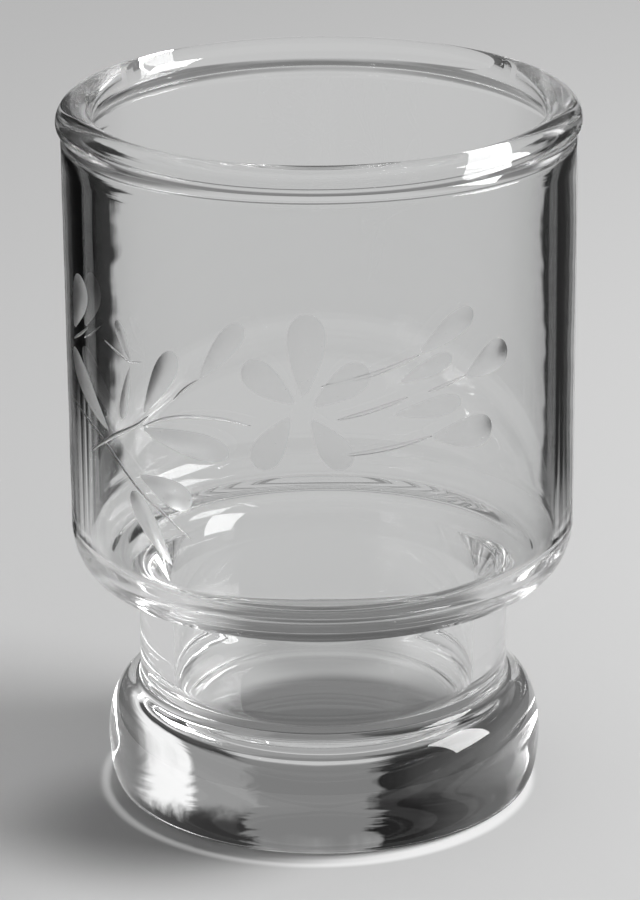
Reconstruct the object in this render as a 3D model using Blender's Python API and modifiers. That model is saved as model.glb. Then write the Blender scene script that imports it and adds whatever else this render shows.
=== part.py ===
"""Footed whisky glass: a straight bowl with a thick rounded rim, a hollow waist and a heavy foot.

The glass is one turned form about its upright axis. Its outside and its hollow are two runs of
points, and the three gathers that a glassmaker joins hot, the bowl, the waist and the foot, each
take the stretch of both runs between their seams.
"""

import math

import bpy

# Heights of the three gathers, in metres
FOOT_HEIGHT = 0.0154
WAIST_HEIGHT = 0.0163
BOWL_HEIGHT = 0.0664

# Bowl
BOWL_DIAMETER = 0.0698         # outside, just under the rim
BOWL_DRAFT = 0.0002            # how much the outside draws in down to the rounding
BOWL_WALL = 0.0027
BOWL_ROUND_WIDTH = 0.0049      # rounding between the side and the underside
BOWL_ROUND_HEIGHT = 0.0072

# Fire-polished rim
RIM_WIDTH = 0.0051
RIM_OVERHANG = 0.0006          # how far the rim stands out from the bowl's side
RIM_CROWN = 0.0025             # height of the rounded top over the rim's widest line
RIM_TUCK = 0.0010              # drop over which the overhang tucks back to the side
RIM_BLEND = 0.0050             # drop over which the inside runs out to the wall

# Waist
WAIST_DIAMETER = 0.0512
WAIST_WALL = 0.0046
WAIST_FILLET = 0.0020          # under the bowl

# Hollow between the bowl and the waist
LEDGE = 0.0031                 # thickness of the bowl's bottom over its underside
CORNER_ROUND = 0.0040          # inside, between the wall and the ledge
LEDGE_FLAT = 0.0002            # flat run of the ledge between its two roundings
WELL_SINK = 0.0024             # depth of the hollow's floor in the top of the foot
WELL_ROUND = 0.0050            # radius between the floor and the well's side

# Foot
FOOT_DIAMETER = 0.0604         # at its belly
FOOT_BELLY_HEIGHT = 0.0073     # widest line over the table
FOOT_TUCK = 0.0018             # how far the side draws in from the belly to the base
BASE_RING_WIDTH = 0.0055       # flat ring that the glass stands on
RECESS_DEPTH = 0.0002          # hollow under the foot, at the middle

# Fits and facets
SEAM = 0.0003                  # gap between two gathers
TURN_STEPS = 64
ARC_STEP = math.radians(15)
SWEEP_POINTS = 10
MERGE = 0.00001

# Clear glass
GLASS_COLOUR = (0.93, 0.95, 0.94, 1.0)
GLASS_ROUGHNESS = 0.02
GLASS_IOR = 1.52

UNDERSIDE = FOOT_HEIGHT + WAIST_HEIGHT
TOP = UNDERSIDE + BOWL_HEIGHT
BOWL_RADIUS = BOWL_DIAMETER / 2
WAIST_RADIUS = WAIST_DIAMETER / 2
FOOT_RADIUS = FOOT_DIAMETER / 2
RIM_LINE = TOP - RIM_CROWN
RIM_CENTRE = BOWL_RADIUS + RIM_OVERHANG - RIM_WIDTH / 2
BASE_RADIUS = FOOT_RADIUS - FOOT_TUCK
RECESS_RADIUS = BASE_RADIUS - BASE_RING_WIDTH
WELL_FLOOR = FOOT_HEIGHT - WELL_SINK
FOOT_SEAM = FOOT_HEIGHT
BOWL_SEAM = UNDERSIDE - WAIST_FILLET


def arc(centre, semi, start, end):
    """Points of an elliptic arc, as (radius, height), between two angles in degrees."""
    first, last = math.radians(start), math.radians(end)
    steps = max(2, math.ceil(abs(last - first) / ARC_STEP))
    points = []
    for step in range(steps + 1):
        angle = first + (last - first) * step / steps
        points.append((centre[0] + semi[0] * math.cos(angle), centre[1] + semi[1] * math.sin(angle)))
    return points


def sweep(start, end):
    """Points of a smooth ogee from one point to the other, upright at both ends."""
    points = []
    for step in range(SWEEP_POINTS + 1):
        share = step / SWEEP_POINTS
        ease = share * share * (3 - 2 * share)
        points.append((start[0] + (end[0] - start[0]) * ease, start[1] + (end[1] - start[1]) * share))
    return points


def outside():
    """The glass's outside from the crown of the rim down to the edge of the base."""
    round_radius = BOWL_RADIUS - BOWL_DRAFT
    points = arc((RIM_CENTRE, RIM_LINE), (RIM_WIDTH / 2, RIM_CROWN), 90, 0)
    points += arc((BOWL_RADIUS, RIM_LINE), (RIM_OVERHANG, RIM_TUCK), 0, -90)[1:]
    points += arc((round_radius - BOWL_ROUND_WIDTH, UNDERSIDE + BOWL_ROUND_HEIGHT),
                  (BOWL_ROUND_WIDTH, BOWL_ROUND_HEIGHT), 0, -90)
    points += arc((WAIST_RADIUS + WAIST_FILLET, UNDERSIDE - WAIST_FILLET),
                  (WAIST_FILLET, WAIST_FILLET), 90, 180)
    points += arc((WAIST_RADIUS, FOOT_BELLY_HEIGHT),
                  (FOOT_RADIUS - WAIST_RADIUS, FOOT_HEIGHT - FOOT_BELLY_HEIGHT), 90, 0)
    points += arc((BASE_RADIUS, FOOT_BELLY_HEIGHT), (FOOT_TUCK, FOOT_BELLY_HEIGHT), 0, -90)[1:]
    return points


def hollow():
    """The glass's hollow from the middle of its floor up to the crown of the rim."""
    wall_radius = BOWL_RADIUS - BOWL_WALL
    well_radius = WAIST_RADIUS - WAIST_WALL
    lip_radius = RIM_CENTRE - RIM_WIDTH / 2
    ledge = UNDERSIDE + LEDGE
    well_lip = wall_radius - CORNER_ROUND - LEDGE_FLAT - well_radius
    points = [(0.0, WELL_FLOOR)]
    points += arc((well_radius - WELL_ROUND, WELL_FLOOR + WELL_ROUND), (WELL_ROUND, WELL_ROUND), -90, 0)
    points += arc((well_radius + well_lip, ledge - well_lip), (well_lip, well_lip), 180, 90)
    points += arc((wall_radius - CORNER_ROUND, ledge + CORNER_ROUND), (CORNER_ROUND, CORNER_ROUND), -90, 0)
    points += sweep((wall_radius, RIM_LINE - RIM_BLEND), (lip_radius, RIM_LINE))
    points += arc((RIM_CENTRE, RIM_LINE), (RIM_WIDTH / 2, RIM_CROWN), 180, 90)[1:]
    return points


def recess():
    """The underside of the foot from the inner edge of the base ring to the axis."""
    points = []
    for step in range(SWEEP_POINTS + 1):
        share = 1 - step / SWEEP_POINTS
        points.append((RECESS_RADIUS * share, RECESS_DEPTH * (1 - share * share)))
    return points


def between(points, low, high):
    """The stretch of a run that lies between two heights, with its ends cut at them."""
    stretch = []
    for (r0, z0), (r1, z1) in zip(points, points[1:]):
        if max(z0, z1) < low or min(z0, z1) > high:
            continue
        for radius, height in ((r0, z0), (r1, z1)):
            cut = min(max(height, low), high)
            if cut != height:
                radius = r0 + (r1 - r0) * (cut - z0) / (z1 - z0)
            if not stretch or (radius, cut) != stretch[-1]:
                stretch.append((radius, cut))
    return stretch


def clear_glass(name):
    """Clear soda-lime glass with a fire-polished surface."""
    material = bpy.data.materials.new(name)
    material.use_nodes = True
    shader = material.node_tree.nodes["Principled BSDF"]
    shader.inputs["Base Color"].default_value = GLASS_COLOUR
    shader.inputs["Roughness"].default_value = GLASS_ROUGHNESS
    shader.inputs["Metallic"].default_value = 0.0
    shader.inputs["IOR"].default_value = GLASS_IOR
    shader.inputs["Transmission Weight"].default_value = 1.0
    return material


def turn(name, section, closed, seat, collection, axis):
    """One gather, turned about the axis from its half section and set at its seat's height."""
    points = [(radius, 0.0, height - seat) for radius, height in section]
    edges = [(index, index + 1) for index in range(len(points) - 1)]
    if closed:
        edges.append((len(points) - 1, 0))
    mesh = bpy.data.meshes.new(name)
    mesh.from_pydata(points, edges, [])
    piece = bpy.data.objects.new(name, mesh)
    piece.location.z = seat
    piece.parent = axis
    piece.data.materials.append(clear_glass(name + "_glass"))
    collection.objects.link(piece)
    screw = piece.modifiers.new("turn", "SCREW")
    screw.axis = "Z"
    screw.angle = 2 * math.pi
    screw.steps = TURN_STEPS
    screw.render_steps = TURN_STEPS
    screw.use_merge_vertices = True
    screw.merge_threshold = MERGE
    screw.use_smooth_shade = True
    return piece


def build():
    """The bowl, the waist and the foot on one upright axis."""
    for item in list(bpy.data.objects):
        bpy.data.objects.remove(item)
    collection = bpy.data.collections.new("whisky_glass")
    bpy.context.scene.collection.children.link(collection)
    axis = bpy.data.objects.new("glass_axis", None)
    collection.objects.link(axis)

    skin, cup = outside(), hollow()
    bowl_end = BOWL_SEAM + SEAM / 2
    waist_top, waist_end = BOWL_SEAM - SEAM / 2, FOOT_SEAM + SEAM / 2
    foot_top = FOOT_SEAM - SEAM / 2
    bowl = between(skin, bowl_end, TOP) + between(cup, bowl_end, TOP)[:-1]
    waist = between(skin, waist_end, waist_top) + between(cup, waist_end, waist_top)
    foot = between(cup, 0.0, foot_top) + between(skin, 0.0, foot_top) + recess()

    turn("bowl", bowl, True, bowl_end, collection, axis)
    turn("waist", waist, True, waist_end, collection, axis)
    turn("foot", foot, False, 0.0, collection, axis)


build()
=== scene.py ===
"""Footed whisky glass with a wheel-cut flower spray on its bowl, standing in a plain studio.

The frame gives the glass's outer size. The glass is turned as one closed body in place of the three
gathers, the spray is cut into the outside of its bowl, and the studio, light and camera are set round it.
"""

import math
from collections import namedtuple

import bpy
import numpy as np
from bpy.props import FloatProperty, FloatVectorProperty, IntProperty, PointerProperty
from mathutils import Matrix, Vector


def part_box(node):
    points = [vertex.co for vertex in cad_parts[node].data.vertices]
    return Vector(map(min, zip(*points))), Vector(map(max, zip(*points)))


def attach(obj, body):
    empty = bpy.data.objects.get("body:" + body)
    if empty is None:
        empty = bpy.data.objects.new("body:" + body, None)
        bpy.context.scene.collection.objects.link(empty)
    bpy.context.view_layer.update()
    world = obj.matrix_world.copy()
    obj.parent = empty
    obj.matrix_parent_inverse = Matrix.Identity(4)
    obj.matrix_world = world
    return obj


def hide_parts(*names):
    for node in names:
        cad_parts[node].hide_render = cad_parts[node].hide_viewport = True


bl_info = {
    "name": "Whisky Glass",
    "version": (1, 0, 0),
    "blender": (4, 5, 0),
    "location": "View3D > Sidebar > Whisky Glass",
    "description": "Turns a footed whisky glass, cuts a flower spray into its bowl and sets it in a studio",
    "category": "Add Mesh",
}

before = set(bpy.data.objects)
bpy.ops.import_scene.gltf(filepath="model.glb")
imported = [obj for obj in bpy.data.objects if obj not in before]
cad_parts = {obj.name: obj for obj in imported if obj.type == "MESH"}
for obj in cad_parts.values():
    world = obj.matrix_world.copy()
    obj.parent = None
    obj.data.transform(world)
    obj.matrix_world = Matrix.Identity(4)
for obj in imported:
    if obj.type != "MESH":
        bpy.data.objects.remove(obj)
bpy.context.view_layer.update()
BOWL_LOW, BOWL_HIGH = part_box("bowl")
WAIST_LOW, WAIST_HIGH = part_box("waist")
FOOT_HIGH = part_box("foot")[1]

MM = 0.001
RIM_RADIUS = BOWL_HIGH.x
GLASS_TOP = BOWL_HIGH.z
WAIST_RADIUS = WAIST_HIGH.x
FOOT_RADIUS = FOOT_HIGH.x
FOOT_TOP = (FOOT_HIGH.z + WAIST_LOW.z) / 2
BOWL_SEAM = (WAIST_HIGH.z + BOWL_LOW.z) / 2

# Facets of the half section: the turn of one facet on its arcs, and facets along its other stretches
ARC_STEP = math.radians(4)
TUCK_STEP = math.radians(10)
WAIST_FILLET_STEP = math.radians(9)
FOOT_FILLET_STEP = math.radians(6)
FLOOR_ROWS = 8
WELL_ROWS = 6
LEDGE_ROWS = 3
WALL_ROWS = 24
BLEND_ROWS = 16
WAIST_ROWS = 6
RECESS_ROWS = 20
MERGE = 0.000001
WALL_MARGIN = 0.0002           # how far past the straight side its faces may reach

# The cut spray, in millimetres: round the bowl from the front, to the right, and up from the table
Leaf = namedtuple("Leaf", "base tip width depth")
Stem = namedtuple("Stem", "points width")

LEAVES = (
    # Buds on the right
    Leaf((13.0, 72.6), (21.0, 77.4), 4.8, 0.22),
    Leaf((10.1, 69.0), (17.8, 71.6), 3.6, 0.11),
    Leaf((19.9, 68.3), (27.0, 71.2), 6.0, 0.36),
    Leaf((9.2, 64.6), (19.3, 65.2), 4.0, 0.10),
    Leaf((14.8, 60.9), (24.4, 60.4), 6.4, 0.34),
    # Leaves on the left branch
    Leaf((-25.8, 62.4), (-20.3, 71.9), 4.8, 0.22),
    Leaf((-16.7, 68.8), (-10.4, 77.0), 4.4, 0.10),
    Leaf((-26.2, 60.3), (-12.4, 59.2), 5.4, 0.24),
    Leaf((-26.9, 53.6), (-18.0, 51.4), 5.6, 0.26),
    Leaf((-21.3, 41.9), (-28.4, 50.9), 4.8, 0.28),
    # Sprigs round the left edge
    Leaf((-43.6, 69.6), (-39.6, 77.6), 7.4, 0.22),
    Leaf((-33.0, 57.9), (-44.6, 66.4), 5.6, 0.14),
    Leaf((-28.1, 69.2), (-30.8, 74.2), 2.8, 0.13),
    Leaf((-28.2, 68.6), (-30.2, 60.6), 2.4, 0.07),
)

PETALS = (
    Leaf((-2.4, 67.4), (-1.7, 78.8), 7.2, 0.16),
    Leaf((-3.4, 66.6), (-10.2, 71.6), 6.2, 0.16),
    Leaf((-1.2, 66.2), (6.0, 71.4), 6.0, 0.08),
    Leaf((-4.0, 65.0), (-8.6, 57.6), 5.8, 0.08),
    Leaf((-1.6, 64.8), (3.4, 57.8), 5.8, 0.08),
)

STEMS = (
    # Stalks of the buds
    Stem(((0.0, 69.0), (6.6, 70.4), (13.0, 72.4)), 0.60),
    Stem(((14.4, 67.2), (17.4, 67.9), (20.0, 68.6)), 0.52),
    Stem(((2.1, 64.4), (6.8, 65.5), (11.4, 66.8)), 0.56),
    Stem(((2.1, 59.4), (8.4, 60.0), (14.9, 61.0)), 0.60),
    # Left branch
    Stem(((-20.6, 65.4), (-18.8, 67.2), (-16.7, 68.8)), 0.40),
    Stem(((-38.2, 53.9), (-32.1, 57.7), (-27.4, 60.3), (-25.0, 62.2)), 0.64),
    Stem(((-26.0, 60.6), (-22.0, 62.5), (-17.9, 63.5), (-13.3, 63.8), (-9.4, 63.3)), 0.50),
    Stem(((-44.7, 59.2), (-38.3, 57.8), (-33.7, 56.0), (-27.0, 51.5), (-22.4, 48.9), (-18.2, 46.3)), 0.48),
    # Sprigs round the left edge
    Stem(((-44.0, 68.0), (-41.0, 69.5), (-38.4, 71.1)), 0.50),
    Stem(((-33.7, 70.7), (-30.5, 69.7), (-28.1, 69.1), (-26.0, 69.5)), 0.40),
)

# Cutter of one leaf, a ball of radius 1 before it is drawn to size
LEAF_SEGMENTS = 40
LEAF_RINGS = 24
LEAF_TAPER = 0.38              # how fast a leaf widens from its stalk to its tip
LEAF_DISH = 0.844              # makes the deepest point of the dish 1 deep
LEAF_LID = 2.0                 # height of the lid over the wall

# Cutter of one stem
STEM_POINTS = 40
STEM_SIDES = 12
STEM_LIFT = 0.1                # how far its middle stands over the wall, as a share of its width
STEM_BLUNT = 0.03              # share of a half turn that is left off the swell at each end

# Grain of the finishes on the glass and the floor: scales in cells per metre, depths in metres
WIPED_SCALE = 55.0
WIPED_PATCHES = (0.52, 0.72)
WHEEL_SCALE = 2600.0
WHEEL_BUMP = 0.12
WHEEL_DEPTH = 0.00005
WHEEL_SMOOTH = 0.7             # share of the satin roughness where the grain is finest
WHEEL_GRAIN = 0.6
PAPER_SCALE = 900.0
PAPER_BUMP = 0.05
PAPER_DEPTH = 0.0001
PAPER_ROUGHNESS = 0.9
PAPER_SHINE = 0.1

# The room that the glass shows, in degrees to the side of straight back and over the level.
# A pair is where a change starts and where it ends.
BACKDROP_DIM = (6.0, 13.0)
EDGE_SOFT = 1.2
LEFT_EDGE = 9.6
LEFT_LEAN = 0.055
LEFT_FLARE_UNDER = -18.0
LEFT_FLARE = 1.2
LEFT_OUTER = (19.0, 27.0)
LEFT_FEET = ((-23.5, -21.5), (-21.0, -18.6))
SKIRTING_GAIN = 0.09
SKIRTING_ACROSS = (18.0, 34.0)
SKIRTING_UP = (2.0, 9.0)
LEFT_WALL_DARK = 0.03
LEFT_WALL_ACROSS = (14.0, 50.0)
LEFT_WALL_UP = (18.5, 22.5)
RIGHT_EDGE = 15.0
RIGHT_LEAN = 0.1
RIGHT_OUTER = (36.0, 44.0)
RIGHT_FEET = ((-21.2, -19.4), (-23.0, -21.5))
RIGHT_WALL_UP = (15.0, 19.0)
RIGHT_JAMB = (48.0, 56.0)
WINDOW_LEFT = (26.0, 30.0)
WINDOW_RIGHT = (42.0, 52.0)
WINDOW_TOP = (24.0, 28.0)
BEHIND_ENDS = (60.0, 72.0)
FLAG_SPACING = 22.5
FLAGS_START = (100.0, 130.0)
FRONT_START = (115.0, 140.0)
SIDES_FOOT = (-36.0, -31.0)
CEILING_START = (28.0, 44.0)
SMEAR_ACROSS = 0.04
SMEAR_UP = 0.9
EDGE_GRAIN = 0.6

# Painted light and shade on the floor round the foot, in place of what the glass throws, in metres
Spot = namedtuple("Spot", "centre inner outer")
# Spots of painted shade on the floor before, behind and under the foot, seen only through the glass
FRONT_SHADE_SPOT = Spot((0.008, -0.020), 0.026, 0.040)
BACK_SHADE_SPOT = Spot((0.0, 0.028), 0.008, 0.018)
FOOT_SHADE_SPOT = Spot((0.001, -0.001), 0.014, 0.019)
# Painted shadow in the paper's colour, a soft crescent to the front left of the foot
CORNER_SHADOW_SPOT = Spot((-0.022, -0.018), 0.008, 0.028)
CORNER_SHADE = 0.5
# Painted ring of light round the base, glowing to the camera in place of the light that the foot focuses
RING_CENTRE = (-0.0010, -0.0008)
RING_SQUEEZE = 1.04
RING_TURN = (-0.35, 0.55)      # sideways share over which the thin line widens to the band
RING_OUTER = (0.0310, 0.0323)
RING_BAND = (0.0286, 0.0298)
RING_LINE = (0.0300, 0.0310)
BAND_GLOW = 0.30
LINE_GLOW = 0.20

# Stage and camera, in metres and radians
FLOOR_DROP = 0.0002
FLOOR_REACH = 6.0
FLOOR_SIDES = 96
LAMP_PLACE = (0.66, -0.03, 0.41)
LAMP_TARGET = (0.0, 0.0, 0.05)
LAMP_SIZE = (0.36, 0.42)
CAMERA_PLACE = (-0.000247, -0.59978, 0.26147)
CAMERA_PITCH = 0.342
CAMERA_ROLL = -0.0085
CAMERA_SENSOR = 36.0
CAMERA_CLIP = 0.01
LIGHT_BOUNCES = 64


class GlassForm(bpy.types.PropertyGroup):
    """Sizes of the turned glass that the frame's box doesn't give"""

    bowl_wall: FloatProperty(name="Bowl wall", description="Thickness of the bowl's side",
                             default=0.0027, unit="LENGTH")
    bowl_draft: FloatProperty(name="Bowl draft", description="How much the side draws in to the rounding",
                              default=0.0002, unit="LENGTH")
    round_width: FloatProperty(name="Rounding width", description="Rounding of the bowl's lower edge, across",
                               default=0.0049, unit="LENGTH")
    round_height: FloatProperty(name="Rounding height",
                                description="Rounding of the bowl's lower edge, upright",
                                default=0.0072, unit="LENGTH")
    rim_width: FloatProperty(name="Rim width", description="Thickness of the fire-polished rim",
                             default=0.0051, unit="LENGTH")
    rim_overhang: FloatProperty(name="Rim overhang", description="How far the rim stands out from the side",
                                default=0.0006, unit="LENGTH")
    rim_crown: FloatProperty(name="Rim crown", description="Height of the rim over its widest line",
                             default=0.0025, unit="LENGTH")
    rim_tuck: FloatProperty(name="Rim tuck", description="Drop from the widest line to the side",
                            default=0.0010, unit="LENGTH")
    rim_blend: FloatProperty(name="Rim blend", description="Drop over which the inside runs out to the wall",
                             default=0.0034, unit="LENGTH")
    waist_wall: FloatProperty(name="Waist wall", description="Thickness of the hollow waist",
                              default=0.0046, unit="LENGTH")
    waist_fillet: FloatProperty(name="Waist fillet", description="Fillet between the waist and the bowl",
                                default=0.0020, unit="LENGTH")
    ledge: FloatProperty(name="Ledge", description="Thickness of the bowl's bottom over its underside",
                         default=0.0031, unit="LENGTH")
    corner_round: FloatProperty(name="Corner round", description="Radius between the wall and the ledge",
                                default=0.0040, unit="LENGTH")
    ledge_flat: FloatProperty(name="Ledge flat", description="Flat run between the ledge's two roundings",
                              default=0.0002, unit="LENGTH")
    well_sink: FloatProperty(name="Well sink", description="Depth of the hollow's floor in the foot",
                             default=0.0024, unit="LENGTH")
    well_round: FloatProperty(name="Well round", description="Radius between the floor and the well's side",
                              default=0.0050, unit="LENGTH")
    belly_height: FloatProperty(name="Belly height", description="Height of the foot's widest line",
                                default=0.0073, unit="LENGTH")
    shoulder_start: FloatProperty(name="Shoulder start",
                                  description="Where the foot's shoulder meets its fillet",
                                  default=math.radians(78), subtype="ANGLE")
    foot_tuck: FloatProperty(name="Foot tuck", description="How far the foot draws in to its base",
                             default=0.0018, unit="LENGTH")
    ring_width: FloatProperty(name="Base ring", description="Width of the ring that the glass stands on",
                              default=0.0055, unit="LENGTH")
    recess_depth: FloatProperty(name="Recess depth", description="Hollow under the foot, at the middle",
                                default=0.0002, unit="LENGTH")
    turn_steps: IntProperty(name="Turn steps", description="Facets round the glass", default=256)


class GlassFinish(bpy.types.PropertyGroup):
    """Finish of the clear glass and of the wheel cuts"""

    tint: FloatVectorProperty(name="Tint", description="Colour of the glass in one pass", size=4,
                              default=(0.993, 0.996, 0.995, 1.0), subtype="COLOR")
    ior: FloatProperty(name="IOR", description="Refraction of soda-lime glass", default=1.52)
    haze: FloatProperty(name="Haze", description="Roughness of wiped and handled patches",
                        default=0.02, subtype="FACTOR")
    cut_satin: FloatProperty(name="Cut satin", description="Roughness that the wheel leaves in a cut",
                             default=0.32, subtype="FACTOR")


class Studio(bpy.types.PropertyGroup):
    """Floor, room, light and camera"""

    floor: FloatVectorProperty(name="Floor", description="Colour of the paper that the glass stands on",
                               size=4, default=(0.62, 0.62, 0.62, 1.0), subtype="COLOR")
    pale: FloatProperty(name="Pale", description="Brightness of the backdrop and the far floor", default=0.58)
    backdrop: FloatProperty(name="Backdrop", description="Brightness of the backdrop higher up", default=0.21)
    dark: FloatProperty(name="Dark", description="Brightness of the flags in front", default=0.015)
    wall: FloatProperty(name="Wall", description="Brightness of the right wall", default=0.30)
    low_left: FloatProperty(name="Low left", description="Brightness of the left wall's foot", default=0.004)
    low_right: FloatProperty(name="Low right", description="Brightness of the right wall's foot",
                             default=0.02)
    jamb: FloatProperty(name="Jamb", description="Brightness of the shaded ends of the walls", default=0.16)
    window: FloatProperty(name="Window", description="Brightness of the window behind the glass", default=1.0)
    surround: FloatProperty(name="Surround", description="Brightness at the sides", default=0.14)
    front: FloatProperty(name="Front", description="Brightness in front, as reflections show it",
                         default=0.12)
    ceiling: FloatProperty(name="Ceiling", description="Brightness over the back of the room", default=0.27)
    ambient: FloatProperty(name="Ambient", description="Brightness of the soft light on the floor",
                           default=0.53)
    ragged: FloatProperty(name="Ragged", description="Unevenness of the room's edges, in degrees",
                          default=5.0)
    ragged_scale: FloatProperty(name="Ragged scale", description="Fineness of the room's uneven edges",
                                default=14.0)
    streak: FloatProperty(name="Streak", description="Sideways smear of the room's edges, in degrees",
                          default=14.0)
    gap_half: FloatProperty(name="Gap", description="Half the opening between two flags, in degrees",
                            default=10.0)
    gap_soft: FloatProperty(name="Gap soft", description="Soft edge of a flag, in degrees", default=5.0)
    front_shade: FloatProperty(name="Front shade", description="Share of light on the floor before the foot",
                               default=0.31, subtype="FACTOR")
    back_shade: FloatProperty(name="Back shade", description="Share of light on the floor behind the foot",
                              default=0.66, subtype="FACTOR")
    foot_shade: FloatProperty(name="Foot shade", description="Share of light on the floor under the foot",
                              default=0.18, subtype="FACTOR")
    near_floor: FloatProperty(name="Near floor", description="Radius of the floor that the glass shows",
                              default=0.105, unit="LENGTH")
    window_power: FloatProperty(name="Window light", description="Power of the light from the right",
                                default=6.1, unit="POWER")
    camera_lens: FloatProperty(name="Lens", description="Focal length", default=184.64, unit="CAMERA")


class Socket:
    """One output of a node, so that sums on it read as plain expressions."""

    def __init__(self, graph, output):
        self.graph = graph
        self.output = output

    def __add__(self, other):
        return self.graph.maths("ADD", self, other)

    def __sub__(self, other):
        return self.graph.maths("SUBTRACT", self, other)

    def __rsub__(self, other):
        return self.graph.maths("SUBTRACT", other, self)

    def __mul__(self, other):
        return self.graph.maths("MULTIPLY", self, other)

    def __truediv__(self, other):
        return self.graph.maths("DIVIDE", self, other)

    def __rtruediv__(self, other):
        return self.graph.maths("DIVIDE", other, self)

    def __neg__(self):
        return self.graph.maths("MULTIPLY", self, -1.0)

    def __lt__(self, other):
        return self.graph.maths("LESS_THAN", self, other)

    __radd__ = __add__
    __rmul__ = __mul__


class Graph:
    """A node tree that is filled by naming nodes, settings and sockets."""

    def __init__(self, tree):
        self.tree = tree

    def plug(self, target, value):
        """Link or value for one input."""
        if isinstance(value, Socket):
            self.tree.links.new(value.output, target)
        else:
            target.default_value = value

    def maths(self, operation, *values):
        """One Math node on numbers or sockets."""
        node = self.tree.nodes.new("ShaderNodeMath")
        node.operation = operation
        for target, value in zip(node.inputs, values):
            self.plug(target, value)
        return Socket(self, node.outputs[0])

    def add(self, kind, settings=None, **sockets):
        """Any other node: its settings first, then its sockets, with _ in a name for a space."""
        node = self.tree.nodes.new(kind)
        for name, value in (settings or {}).items():
            setattr(node, name, value)
        for name, value in sockets.items():
            wanted = name.replace("_", " ")
            target = next(slot for slot in node.inputs if slot.enabled and slot.name == wanted)
            self.plug(target, value)
        return {slot.name: Socket(self, slot) for slot in node.outputs if slot.enabled}


def arc(centre, semi, start, end, step=ARC_STEP):
    """Points of an elliptic arc, as (radius, height), between two angles in degrees."""
    first, last = math.radians(start), math.radians(end)
    count = math.ceil(abs(last - first) / step)
    angles = [first + (last - first) * index / count for index in range(count + 1)]
    return [(centre[0] + semi[0] * math.cos(a), centre[1] + semi[1] * math.sin(a)) for a in angles]


def sweep(start, end, count):
    """Points of a smooth ogee between two points, upright at both ends."""
    points = []
    for index in range(count + 1):
        share = index / count
        eased = share * share * (3 - 2 * share)
        points.append((start[0] + (end[0] - start[0]) * eased, start[1] + (end[1] - start[1]) * share))
    return points


def straight(start, end, count):
    """Points between two points, without its ends."""
    shares = [index / count for index in range(1, count)]
    return [(start[0] + (end[0] - start[0]) * s, start[1] + (end[1] - start[1]) * s) for s in shares]


def wall_line(form):
    """Top and foot of the bowl's straight outside, as (radius, height)."""
    radius = RIM_RADIUS - form.rim_overhang
    top = GLASS_TOP - form.rim_crown - form.rim_tuck
    underside = BOWL_SEAM + form.waist_fillet
    return (radius, top), (radius - form.bowl_draft, underside + form.round_height)


def hollow_run(form):
    """The hollow from the middle of its floor up to the inner edge of the rim."""
    inside = RIM_RADIUS - form.rim_overhang - form.bowl_wall
    well = WAIST_RADIUS - form.waist_wall
    floor = FOOT_TOP - form.well_sink
    ledge = BOWL_SEAM + form.waist_fillet + form.ledge
    well_lip = inside - form.corner_round - form.ledge_flat - well
    rim_line = GLASS_TOP - form.rim_crown
    rim_inside = RIM_RADIUS - form.rim_width

    points = [(0.0, floor)]
    points += straight((0.0, floor), (well - form.well_round, floor), FLOOR_ROWS)
    points += arc((well - form.well_round, floor + form.well_round), (form.well_round,) * 2, -90, 0)
    lip = arc((well + well_lip, ledge - well_lip), (well_lip,) * 2, 180, 90)
    points += straight(points[-1], lip[0], WELL_ROWS) + lip
    corner = arc((inside - form.corner_round, ledge + form.corner_round), (form.corner_round,) * 2, -90, 0)
    points += straight(points[-1], corner[0], LEDGE_ROWS) + corner
    blend = sweep((inside, rim_line - form.rim_blend), (rim_inside, rim_line), BLEND_ROWS)
    points += straight(points[-1], blend[0], WALL_ROWS) + blend
    return points


def foot_run(form, start):
    """The outside from the top of the waist down over the foot's shoulder to the edge of its base."""
    shoulder = (FOOT_RADIUS - WAIST_RADIUS, FOOT_TOP - form.belly_height)
    meets = form.shoulder_start
    lean = Vector((math.cos(meets) / shoulder[0], math.sin(meets) / shoulder[1]))
    lean.normalize()
    radius = shoulder[0] * math.cos(meets) / (1 - lean.x)
    centre = (WAIST_RADIUS + radius, form.belly_height + shoulder[1] * math.sin(meets) + radius * lean.y)
    end = 180 + math.degrees(math.atan2(lean.y, lean.x))
    fillet = arc(centre, (radius, radius), 180, end, FOOT_FILLET_STEP)
    base = FOOT_RADIUS - form.foot_tuck
    points = straight(start, fillet[0], WAIST_ROWS) + fillet
    points += arc((WAIST_RADIUS, form.belly_height), shoulder, math.degrees(meets), 0)[1:]
    points += arc((base, form.belly_height), (form.foot_tuck, form.belly_height), 0, -90)[1:]
    return points


def glass_section(form):
    """Half section of the whole glass: up the hollow, over the rim, down the outside and under the foot."""
    (side, side_top), (round_radius, round_top) = wall_line(form)
    underside = BOWL_SEAM + form.waist_fillet
    rim_line = GLASS_TOP - form.rim_crown
    rim_centre = RIM_RADIUS - form.rim_width / 2

    points = hollow_run(form)
    points += arc((rim_centre, rim_line), (form.rim_width / 2, form.rim_crown), 180, 0)[1:]
    points += arc((side, rim_line), (form.rim_overhang, form.rim_tuck), 0, -90, TUCK_STEP)[1:]
    points += straight((side, side_top), (round_radius, round_top), WALL_ROWS)
    points += arc((round_radius - form.round_width, round_top), (form.round_width, form.round_height), 0, -90)
    fillet = arc((WAIST_RADIUS + form.waist_fillet, underside - form.waist_fillet),
                 (form.waist_fillet,) * 2, 90, 180, WAIST_FILLET_STEP)
    points += straight(points[-1], fillet[0], LEDGE_ROWS) + fillet
    points += foot_run(form, points[-1])
    recess = FOOT_RADIUS - form.foot_tuck - form.ring_width
    shares = [1 - index / RECESS_ROWS for index in range(RECESS_ROWS + 1)]
    points += [(recess * share, form.recess_depth * (1 - share * share)) for share in shares]
    return points


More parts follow.
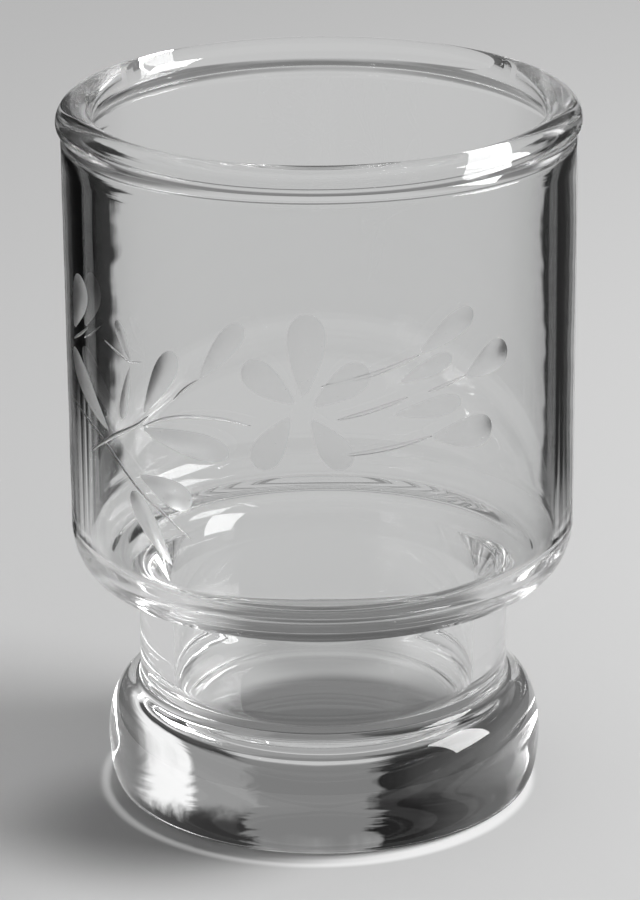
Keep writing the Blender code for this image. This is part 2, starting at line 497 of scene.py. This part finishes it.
def line_mesh(name, runs):
    """A mesh of open runs of points joined by edges."""
    points, edges = [], []
    for run in runs:
        start = len(points)
        points += run
        edges += [(index, index + 1) for index in range(start, len(points) - 1)]
    mesh = bpy.data.meshes.new(name)
    mesh.from_pydata(points, edges, [])
    return mesh


def node_tree(name, inputs):
    """An empty geometry tree with a geometry in and out and the named inputs, as (graph, inputs, output)."""
    tree = bpy.data.node_groups.new(name, "GeometryNodeTree")
    tree.interface.new_socket("Geometry", in_out="INPUT", socket_type="NodeSocketGeometry")
    for label, kind in inputs:
        tree.interface.new_socket(label, in_out="INPUT", socket_type=kind)
    tree.interface.new_socket("Geometry", in_out="OUTPUT", socket_type="NodeSocketGeometry")
    graph = Graph(tree)
    entry = graph.add("NodeGroupInput")
    exit_node = tree.nodes.new("NodeGroupOutput")
    return graph, entry, exit_node.inputs[0]


def grow(name, mesh, tree, values):
    """Runs a geometry tree on a mesh and keeps the result as a plain mesh object."""
    host = bpy.data.objects.new(name, mesh)
    bpy.context.scene.collection.objects.link(host)
    modifier = host.modifiers.new(name, "NODES")
    modifier.node_group = tree
    for item in tree.interface.items_tree:
        if item.in_out == "INPUT" and item.name in values:
            modifier[item.identifier] = values[item.name]
    grown = bpy.data.meshes.new_from_object(host.evaluated_get(bpy.context.evaluated_depsgraph_get()))
    host.modifiers.remove(modifier)
    host.data = grown
    grown.name = name
    bpy.data.meshes.remove(mesh)
    return host


def leaf_points(leaves):
    """Middle, turn and half sizes of each leaf, in metres on the unrolled wall."""
    rows = []
    for leaf in leaves:
        base, tip = Vector(leaf.base) * MM, Vector(leaf.tip) * MM
        middle, along = (base + tip) / 2, tip - base
        turn = math.atan2(along.y, along.x)
        rows.append((middle, turn, (along.length / 2, leaf.width * MM / 2, leaf.depth * MM)))
    return rows


def spray_mesh(name):
    """Loose points for the leaves and petals and edges for the stems, on the unrolled wall."""
    rows = leaf_points(LEAVES + PETALS)
    stems = [[(s * MM, t * MM, stem.width * STEM_LIFT * MM) for s, t in stem.points] for stem in STEMS]
    mesh = line_mesh(name, stems)
    stem_count = len(mesh.vertices)
    mesh.vertices.add(len(rows))
    kinds = {"is_leaf": "BOOLEAN", "turn": "FLOAT", "half_size": "FLOAT_VECTOR", "stem_width": "FLOAT"}
    for label, kind in kinds.items():
        mesh.attributes.new(label, kind, "POINT")
    is_leaf, turn, half, width = [mesh.attributes[label] for label in kinds]
    widths = [stem.width * MM for stem in STEMS for _ in stem.points]
    for index, value in enumerate(widths):
        width.data[index].value = value
    for index, (middle, angle, size) in enumerate(rows, stem_count):
        mesh.vertices[index].co = (middle.x, middle.y, 0.0)
        is_leaf.data[index].value = True
        turn.data[index].value = angle
        half.data[index].vector = size
    return mesh


def stored(graph, kind, label):
    """A value that the mesh's points carry under a name."""
    return graph.add("GeometryNodeInputNamedAttribute", {"data_type": kind}, Name=label)["Attribute"]


def placed(graph):
    """The place of each point, by axis."""
    return graph.add("ShaderNodeSeparateXYZ", None, Vector=graph.add("GeometryNodeInputPosition")["Position"])


def leaf_cutters(graph, points):
    """Leaves: a ball drawn in to a stalk at its base, with a shallow dished underside and a lid on top."""
    ball = graph.add("GeometryNodeMeshUVSphere", None, Segments=LEAF_SEGMENTS, Rings=LEAF_RINGS,
                     Radius=1.0)["Mesh"]
    place = placed(graph)
    along, across, up = place["X"], place["Y"], place["Z"]
    taper = (1.0 - LEAF_TAPER) + along * LEAF_TAPER
    under = up < 0.0
    dish = up * up * (1.0 + along) * -LEAF_DISH
    shape = graph.add("ShaderNodeCombineXYZ", None, X=along, Y=across * taper,
                      Z=under * dish + (1.0 - under) * up * LEAF_LID)["Vector"]
    leaf = graph.add("GeometryNodeSetPosition", None, Geometry=ball, Position=shape)["Geometry"]
    spun = graph.add("ShaderNodeCombineXYZ", None, X=0.0, Y=0.0, Z=stored(graph, "FLOAT", "turn"))["Vector"]
    leaves = graph.add("GeometryNodeInstanceOnPoints", None, Points=points, Instance=leaf, Rotation=spun,
                       Scale=stored(graph, "FLOAT_VECTOR", "half_size"))["Instances"]
    return graph.add("GeometryNodeRealizeInstances", None, Geometry=leaves)["Geometry"]


def stem_cutters(graph, edges):
    """Stems: thin round cuts that fade at both ends."""
    lines = graph.add("GeometryNodeMeshToCurve", None, Mesh=edges)["Curve"]
    lines = graph.add("GeometryNodeCurveSplineType", {"spline_type": "CATMULL_ROM"}, Curve=lines)["Curve"]
    lines = graph.add("GeometryNodeResampleCurve", {"mode": "COUNT"}, Curve=lines, Count=STEM_POINTS)["Curve"]
    share = graph.add("GeometryNodeSplineParameter")["Factor"]
    half_turn = share * (math.pi * (1 - 2 * STEM_BLUNT)) + math.pi * STEM_BLUNT
    swell = graph.maths("SQRT", graph.maths("SINE", half_turn))
    radius = stored(graph, "FLOAT", "stem_width") * 0.5 * swell
    lines = graph.add("GeometryNodeSetCurveRadius", None, Curve=lines, Radius=radius)["Curve"]
    ring = graph.add("GeometryNodeCurvePrimitiveCircle", None, Resolution=STEM_SIDES, Radius=1.0)["Curve"]
    return graph.add("GeometryNodeCurveToMesh", None, Curve=lines, Profile_Curve=ring,
                     Scale=stored(graph, "FLOAT", "radius"), Fill_Caps=True)["Mesh"]


def spray_tree():
    """Leaf and stem cutters on the unrolled wall, rolled round the bowl."""
    graph, entry, exit_socket = node_tree("wheel_cut_spray", (
        ("Wall Radius", "NodeSocketFloat"), ("Wall Draft", "NodeSocketFloat"),
        ("Wall Foot", "NodeSocketFloat"), ("Wall Height", "NodeSocketFloat"),
        ("Cut Finish", "NodeSocketMaterial")))
    parted = graph.add("GeometryNodeSeparateGeometry", {"domain": "POINT"}, Geometry=entry["Geometry"],
                       Selection=stored(graph, "BOOLEAN", "is_leaf"))
    cutters = graph.tree.nodes.new("GeometryNodeJoinGeometry")
    for pieces in (leaf_cutters(graph, parted["Selection"]), stem_cutters(graph, parted["Inverted"])):
        graph.tree.links.new(pieces.output, cutters.inputs[0])
    flat = placed(graph)
    climb = (flat["Y"] - entry["Wall Foot"]) / entry["Wall Height"]
    radius = entry["Wall Radius"] - entry["Wall Draft"] * (1.0 - climb)
    angle = flat["X"] / entry["Wall Radius"]
    reach = radius + flat["Z"]
    rolled = graph.add("ShaderNodeCombineXYZ", None, X=reach * graph.maths("SINE", angle),
                       Y=-(reach * graph.maths("COSINE", angle)), Z=flat["Y"])["Vector"]
    wrapped = graph.add("GeometryNodeSetPosition", None, Geometry=Socket(graph, cutters.outputs[0]),
                        Position=rolled)["Geometry"]
    finished = graph.add("GeometryNodeSetMaterial", None, Geometry=wrapped,
                         Material=entry["Cut Finish"])["Geometry"]
    graph.tree.links.new(finished.output, exit_socket)
    return graph.tree


def glass_tree():
    """The section turned about the axis and cut by the spray."""
    graph, entry, exit_socket = node_tree("turned_glass", (
        ("Path Radius", "NodeSocketFloat"), ("Steps", "NodeSocketInt"),
        ("Cutters", "NodeSocketObject"), ("Glass Finish", "NodeSocketMaterial")))
    section = graph.add("GeometryNodeMeshToCurve", None, Mesh=entry["Geometry"])["Curve"]
    place = placed(graph)
    profile_place = graph.add("ShaderNodeCombineXYZ", None, X=place["X"] - entry["Path Radius"],
                              Y=-place["Z"])["Vector"]
    profile = graph.add("GeometryNodeSetPosition", None, Geometry=section, Position=profile_place)["Geometry"]
    path = graph.add("GeometryNodeCurvePrimitiveCircle", None, Resolution=entry["Steps"],
                     Radius=entry["Path Radius"])["Curve"]
    turned = graph.add("GeometryNodeCurveToMesh", None, Curve=path, Profile_Curve=profile)["Mesh"]
    turned = graph.add("GeometryNodeMergeByDistance", None, Geometry=turned, Distance=MERGE)["Geometry"]
    turned = graph.add("GeometryNodeSetShadeSmooth", {"domain": "FACE"}, Geometry=turned,
                       Shade_Smooth=True)["Geometry"]
    turned = graph.add("GeometryNodeSetMaterial", None, Geometry=turned,
                       Material=entry["Glass Finish"])["Geometry"]
    cutters = graph.add("GeometryNodeObjectInfo", None, Object=entry["Cutters"])["Geometry"]
    island = graph.add("GeometryNodeInputMeshIsland")["Island Index"]
    cutters = graph.add("GeometryNodeSplitToInstances", {"domain": "POINT"}, Geometry=cutters,
                        Group_ID=island)["Instances"]
    cut_node = graph.tree.nodes.new("GeometryNodeMeshBoolean")
    cut_node.operation = "DIFFERENCE"
    cut_node.solver = "MANIFOLD"
    graph.tree.links.new(turned.output, cut_node.inputs["Mesh 1"])
    graph.tree.links.new(cutters.output, cut_node.inputs["Mesh 2"])
    cut = Socket(graph, cut_node.outputs["Mesh"])
    whole = graph.add("GeometryNodeRealizeInstances", None, Geometry=cut)["Geometry"]
    graph.tree.links.new(whole.output, exit_socket)
    return graph.tree


def ease(graph, value, start, end):
    """A smooth step from 0 at the start to 1 at the end."""
    return graph.add("ShaderNodeMapRange", {"interpolation_type": "SMOOTHSTEP"}, Value=value,
                     From_Min=start, From_Max=end, To_Min=0.0, To_Max=1.0)["Result"]


def ramp(graph, value, start, end):
    """A straight climb from 0 at the start to 1 at the end."""
    return graph.add("ShaderNodeMapRange", {"interpolation_type": "LINEAR"}, Value=value,
                     From_Min=start, From_Max=end, To_Min=0.0, To_Max=1.0)["Result"]


def mix(first, second, share):
    """The first value, drawn towards the second by a share."""
    return first + share * (second - first)


def new_material(name):
    """An empty material and its graph."""
    material = bpy.data.materials.new(name)
    material.use_nodes = True
    material.node_tree.nodes.clear()
    return material, Graph(material.node_tree)


def finish_material(graph, settings, **sockets):
    """A Principled surface with its constant settings and its linked sockets, joined to the output."""
    surface = graph.add("ShaderNodeBsdfPrincipled", None, **settings, **sockets)["BSDF"]
    graph.add("ShaderNodeOutputMaterial", None, Surface=surface)


def clear_glass(finish):
    """Clear fire-polished glass with faint wiped patches."""
    material, graph = new_material("clear_glass")
    place = graph.add("ShaderNodeTexCoord")["Object"]
    patches = graph.add("ShaderNodeTexNoise", None, Vector=place, Scale=WIPED_SCALE, Detail=3.0)["Fac"]
    wiped = ease(graph, patches, *WIPED_PATCHES)
    finish_material(graph, {"Base_Color": finish.tint, "IOR": finish.ior, "Transmission_Weight": 1.0},
                    Roughness=wiped * finish.haze)
    return material


def cut_glass(finish):
    """Satin glass in the bottom of a wheel cut, with the wheel's fine scratches."""
    material, graph = new_material("cut_glass")
    place = graph.add("ShaderNodeTexCoord")["Object"]
    grain = graph.add("ShaderNodeTexNoise", None, Vector=place, Scale=WHEEL_SCALE, Detail=2.0)["Fac"]
    scratch = graph.add("ShaderNodeBump", None, Strength=WHEEL_BUMP, Distance=WHEEL_DEPTH,
                        Height=grain)["Normal"]
    finish_material(graph, {"Base_Color": finish.tint, "IOR": finish.ior, "Transmission_Weight": 1.0},
                    Roughness=finish.cut_satin * (WHEEL_SMOOTH + grain * WHEEL_GRAIN), Normal=scratch)
    return material


def true_normals(glass, form):
    """Keeps the cut edges crisp and gives the bowl's side level normals that point out from the axis."""
    mesh = glass.data
    cut_slot = mesh.materials.find("cut_glass")
    for face in mesh.polygons:
        face.material_index = min(face.material_index, cut_slot)
        face.use_smooth = True
    edge_kinds = {}
    for face in mesh.polygons:
        for key in face.edge_keys:
            edge_kinds.setdefault(key, set()).add(face.material_index)
    sharp = mesh.attributes.get("sharp_edge") or mesh.attributes.new("sharp_edge", "BOOLEAN", "EDGE")
    for edge in mesh.edges:
        sharp.data[edge.index].value = len(edge_kinds[edge.key]) > 1
    (side, side_top), (_, round_top) = wall_line(form)
    reach = side - form.bowl_wall / 2
    normals = np.empty((len(mesh.loops), 3), np.float32)
    mesh.corner_normals.foreach_get("vector", normals.ravel())
    for face in mesh.polygons:
        if face.material_index == cut_slot:
            continue
        corners = [mesh.vertices[index].co for index in face.vertices]
        heights = [corner.z for corner in corners]
        outside = all(corner.xy.length > reach for corner in corners)
        if outside and min(heights) > round_top - WALL_MARGIN and max(heights) < side_top + WALL_MARGIN:
            for loop, corner in zip(face.loop_indices, corners):
                normals[loop] = Vector((corner.x, corner.y, 0.0)).normalized()
    mesh.normals_split_custom_set(normals)


class WHISKY_OT_turn_glass(bpy.types.Operator):
    """Turn the glass, cut the spray into its bowl and finish it"""

    bl_idname = "whisky.turn_glass"
    bl_label = "Turn Glass"

    def execute(self, context):
        form, finish = context.scene.whisky_form, context.scene.whisky_finish
        (side, side_top), (_, round_top) = wall_line(form)
        cutters = grow("spray_cutters", spray_mesh("spray_lines"), spray_tree(), {
            "Wall Radius": side, "Wall Draft": form.bowl_draft, "Wall Foot": round_top,
            "Wall Height": side_top - round_top, "Cut Finish": cut_glass(finish)})
        section = line_mesh("glass_section", [[(r, 0.0, z) for r, z in glass_section(form)]])
        glass = grow("glass", section, glass_tree(), {
            "Path Radius": side, "Steps": form.turn_steps,
            "Cutters": cutters, "Glass Finish": clear_glass(finish)})
        bpy.data.objects.remove(cutters)
        true_normals(glass, form)
        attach(glass, "root")
        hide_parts("bowl", "waist", "foot")
        return {"FINISHED"}


def wall_share(graph, outward, height, edge, outer, feet):
    """Where a wall of the room is seen: past its soft edge and over its foot, which changes outwards."""
    near, far = feet
    beside = ease(graph, outward, edge - EDGE_SOFT, edge + EDGE_SOFT)
    share = ramp(graph, outward, *outer)
    over = ease(graph, height, mix(near[0], far[0], share), mix(near[1], far[1], share))
    return beside * over


def room(graph, studio, azimuth, height):
    """Brightness behind the glass by direction: backdrop, dim wall on its left, window on its right."""
    backdrop = mix(studio.pale, studio.backdrop, ease(graph, height, *BACKDROP_DIM))

    leftward = -azimuth
    lit = ramp(graph, leftward, *SKIRTING_ACROSS) * ease(graph, height, *SKIRTING_UP)
    skirting = studio.low_left + SKIRTING_GAIN * lit
    wall = mix(LEFT_WALL_DARK, studio.jamb, ramp(graph, leftward, *LEFT_WALL_ACROSS))
    left = mix(skirting, wall, ease(graph, height, *LEFT_WALL_UP))
    flare = graph.maths("MAXIMUM", LEFT_FLARE_UNDER - height, 0.0) * LEFT_FLARE
    left_edge = LEFT_EDGE - height * LEFT_LEAN + flare
    left_share = wall_share(graph, leftward, height, left_edge, LEFT_OUTER, LEFT_FEET)

    opening = ease(graph, azimuth, *WINDOW_LEFT) * (1.0 - ease(graph, azimuth, *WINDOW_RIGHT))
    glare = mix(studio.window, studio.pale, ease(graph, height, *WINDOW_TOP))
    wall = mix(mix(studio.wall, studio.jamb, ease(graph, azimuth, *RIGHT_JAMB)), glare, opening)
    right = mix(studio.low_right, wall, ease(graph, height, *RIGHT_WALL_UP))
    right_edge = RIGHT_EDGE - height * RIGHT_LEAN
    right_share = wall_share(graph, azimuth, height, right_edge, RIGHT_OUTER, RIGHT_FEET)

    return mix(mix(backdrop, left, left_share), right, right_share)


def flags(graph, studio, azimuth, aside):
    """Brightness at the sides and in front by direction: pale gaps between dark upright flags in front."""
    turn = graph.maths("PINGPONG", azimuth, FLAG_SPACING)
    flag = ease(graph, turn, studio.gap_half, studio.gap_half + studio.gap_soft)
    front = ease(graph, aside, *FLAGS_START)
    return mix(studio.surround, mix(studio.pale, studio.dark, flag), front)


def studio_world(studio):
    """Pale to the camera, soft to the floor, and a room of dark and pale stretches to the glass."""
    world = bpy.data.worlds.new("studio")
    world.use_nodes = True
    world.node_tree.nodes.clear()
    graph = Graph(world.node_tree)
    direction = graph.add("ShaderNodeTexCoord")["Generated"]
    towards = graph.add("ShaderNodeSeparateXYZ", None, Vector=direction)
    azimuth = graph.maths("DEGREES", graph.maths("ARCTAN2", towards["X"], towards["Y"]))
    height = graph.maths("DEGREES", graph.maths("ARCSINE", towards["Z"]))

    # Uneven and smeared edges
    ragged = graph.add("ShaderNodeTexNoise", None, Vector=direction, Scale=studio.ragged_scale, Detail=4.0,
                       Roughness=EDGE_GRAIN)
    stray = graph.add("ShaderNodeSeparateXYZ", None, Vector=ragged["Color"])
    smear = graph.add("ShaderNodeCombineXYZ", None, X=azimuth * SMEAR_ACROSS, Y=0.0,
                      Z=height * SMEAR_UP)["Vector"]
    streaks = graph.add("ShaderNodeTexNoise", None, Vector=smear, Scale=1.0, Detail=3.0,
                        Roughness=EDGE_GRAIN)["Fac"]
    azimuth = azimuth + (stray["X"] - 0.5) * studio.ragged + (streaks - 0.5) * studio.streak
    height = height + (stray["Y"] - 0.5) * studio.ragged

    # Sides and front, which look darker where the glass mirrors them than straight through it
    aside = graph.maths("ABSOLUTE", azimuth)
    path = graph.add("ShaderNodeLightPath")
    direct = path["Glossy Depth"] < 0.5
    mirrored = mix(studio.surround, studio.front, ease(graph, aside, *FRONT_START))
    sides = mix(mirrored, flags(graph, studio, azimuth, aside), direct)
    sides = mix(studio.pale, sides, ease(graph, height, *SIDES_FOOT))

    behind = 1.0 - ease(graph, aside, *BEHIND_ENDS)
    around = mix(sides, room(graph, studio, azimuth, height), behind)
    ceiling = mix(studio.pale, studio.ceiling, behind)
    around = mix(around, ceiling, ease(graph, height, *CEILING_START))
    seen = mix(around, studio.ambient, path["Is Diffuse Ray"])
    seen = mix(seen, studio.pale, path["Is Camera Ray"])
    background = graph.add("ShaderNodeBackground", None, Color=seen, Strength=1.0)["Background"]
    graph.add("ShaderNodeOutputWorld", None, Surface=background)
    bpy.context.scene.world = world


def length(graph, across, back):
    """Distance on the floor from its two parts."""
    return graph.maths("SQRT", across * across + back * back)


def soft_spot(graph, place, spot):
    """1 inside a round spot on the floor, fading to 0 at its outer edge."""
    reach = length(graph, place["X"] - spot.centre[0], place["Y"] - spot.centre[1])
    return 1.0 - ease(graph, reach, spot.inner, spot.outer)


def painted_ring_of_light(graph, place):
    """Painted light round the foot on the floor, glowing to the camera: a thin line on the left, a band on
    the right.
    """
    across = (place["X"] - RING_CENTRE[0]) * RING_SQUEEZE
    reach = length(graph, across, place["Y"] - RING_CENTRE[1])
    rightward = ease(graph, across / reach, *RING_TURN)
    outer = 1.0 - ease(graph, reach, *RING_OUTER)
    band = ease(graph, reach, *RING_BAND) * outer
    line = ease(graph, reach, *RING_LINE) * outer
    return mix(line * LINE_GLOW, band * BAND_GLOW, rightward)


def paper(studio):
    """Matt pale paper with a faint tooth, with painted shade, a painted shadow and a painted ring of light
    round the foot.
    """
    material, graph = new_material("pale_paper")
    place = graph.add("ShaderNodeTexCoord")["Object"]
    tooth = graph.add("ShaderNodeTexNoise", None, Vector=place, Scale=PAPER_SCALE, Detail=2.0)["Fac"]
    bump = graph.add("ShaderNodeBump", None, Strength=PAPER_BUMP, Distance=PAPER_DEPTH,
                     Height=tooth)["Normal"]
    flat = graph.add("ShaderNodeSeparateXYZ", None, Vector=place)
    # Painted shade: the floor darker before, behind and under the foot, as the glass shows it
    shade = mix(1.0, studio.front_shade, soft_spot(graph, flat, FRONT_SHADE_SPOT))
    shade = mix(shade, studio.back_shade, soft_spot(graph, flat, BACK_SHADE_SPOT))
    shade = mix(shade, studio.foot_shade, soft_spot(graph, flat, FOOT_SHADE_SPOT))
    path = graph.add("ShaderNodeLightPath")
    through = graph.maths("MAXIMUM", path["Is Transmission Ray"], path["Is Glossy Ray"])
    # Through the glass or in its reflections the paper is an even pale glow, dimmed by the painted shade; to
    # the camera it adds the painted ring of light
    glow = through * shade * studio.pale + path["Is Camera Ray"] * painted_ring_of_light(graph, flat)
    tone = studio.floor[0]
    # Painted shadow: the paper's colour darkened in a soft spot to the front left of the foot
    lit = mix(tone, tone * CORNER_SHADE, soft_spot(graph, flat, CORNER_SHADOW_SPOT))
    finish_material(graph, {"Roughness": PAPER_ROUGHNESS, "Specular_IOR_Level": PAPER_SHINE,
                            "Emission_Strength": 1.0},
                    Base_Color=(1.0 - through) * lit, Emission_Color=glow, Normal=bump)
    material.cycles.emission_sampling = "NONE"
    return material


def floor_piece(name, inner, outer, material):
    """A flat ring of floor, or a disc where its inner radius is 0."""
    turns = [2 * math.pi * index / FLOOR_SIDES for index in range(FLOOR_SIDES)]
    points = [(outer * math.cos(a), outer * math.sin(a), -FLOOR_DROP) for a in turns]
    if inner:
        points += [(inner * math.cos(a), inner * math.sin(a), -FLOOR_DROP) for a in turns]
        follows = [(index + 1) % FLOOR_SIDES for index in range(FLOOR_SIDES)]
        faces = [(i, after, FLOOR_SIDES + after, FLOOR_SIDES + i) for i, after in enumerate(follows)]
    else:
        faces = [tuple(range(FLOOR_SIDES))]
    mesh = bpy.data.meshes.new(name)
    mesh.from_pydata(points, [], faces)
    mesh.materials.append(material)
    piece = bpy.data.objects.new(name, mesh)
    bpy.context.scene.collection.objects.link(piece)
    return piece


def area_light(name, place, target, size, power):
    """A soft rectangular light that faces a point."""
    data = bpy.data.lights.new(name, "AREA")
    data.shape = "RECTANGLE"
    data.size, data.size_y = size
    data.energy = power
    lamp = bpy.data.objects.new(name, data)
    lamp.location = place
    lamp.rotation_euler = (Vector(target) - Vector(place)).to_track_quat("-Z", "Y").to_euler()
    lamp.visible_camera = False
    bpy.context.scene.collection.objects.link(lamp)


def photo_camera(lens):
    """The camera at the photograph's view."""
    camera = bpy.data.objects.new("camera", bpy.data.cameras.new("camera"))
    camera.data.lens = lens
    camera.data.sensor_width = CAMERA_SENSOR
    camera.data.clip_start = CAMERA_CLIP
    turn = Matrix.Rotation(math.pi / 2 - CAMERA_PITCH, 4, "X") @ Matrix.Rotation(CAMERA_ROLL, 4, "Z")
    camera.matrix_world = Matrix.Translation(CAMERA_PLACE) @ turn
    bpy.context.scene.collection.objects.link(camera)
    bpy.context.scene.camera = camera


class WHISKY_OT_set_studio(bpy.types.Operator):
    """Set the floor, the room, the light and the camera round the glass"""

    bl_idname = "whisky.set_studio"
    bl_label = "Set Studio"

    def execute(self, context):
        scene, studio = context.scene, context.scene.whisky_studio
        material = paper(studio)
        floor_piece("floor_near", 0.0, studio.near_floor, material)
        far = floor_piece("floor_far", studio.near_floor, FLOOR_REACH, material)
        far.visible_transmission = False
        far.visible_glossy = False
        studio_world(studio)
        area_light("window", LAMP_PLACE, LAMP_TARGET, LAMP_SIZE, studio.window_power)
        photo_camera(studio.camera_lens)
        scene.view_settings.view_transform = "Standard"
        scene.cycles.max_bounces = LIGHT_BOUNCES
        scene.cycles.transmission_bounces = LIGHT_BOUNCES
        scene.cycles.glossy_bounces = LIGHT_BOUNCES
        return {"FINISHED"}


class WHISKY_PT_panel(bpy.types.Panel):
    """The glass and its studio in the sidebar"""

    bl_idname = "WHISKY_PT_panel"
    bl_label = "Whisky Glass"
    bl_space_type = "VIEW_3D"
    bl_region_type = "UI"
    bl_category = "Whisky Glass"

    def draw(self, context):
        layout = self.layout
        for operator in (WHISKY_OT_turn_glass, WHISKY_OT_set_studio):
            layout.operator(operator.bl_idname)
        for group in (context.scene.whisky_form, context.scene.whisky_finish, context.scene.whisky_studio):
            box = layout.box()
            for name in group.__annotations__:
                box.prop(group, name)


CLASSES = (GlassForm, GlassFinish, Studio, WHISKY_OT_turn_glass, WHISKY_OT_set_studio, WHISKY_PT_panel)


def register():
    for item in CLASSES:
        bpy.utils.register_class(item)
    bpy.types.Scene.whisky_form = PointerProperty(type=GlassForm)
    bpy.types.Scene.whisky_finish = PointerProperty(type=GlassFinish)
    bpy.types.Scene.whisky_studio = PointerProperty(type=Studio)


def unregister():
    del bpy.types.Scene.whisky_studio
    del bpy.types.Scene.whisky_finish
    del bpy.types.Scene.whisky_form
    for item in reversed(CLASSES):
        bpy.utils.unregister_class(item)


def main():
    register()
    bpy.ops.whisky.turn_glass()
    bpy.ops.whisky.set_studio()


if __name__ == "__main__":
    main()
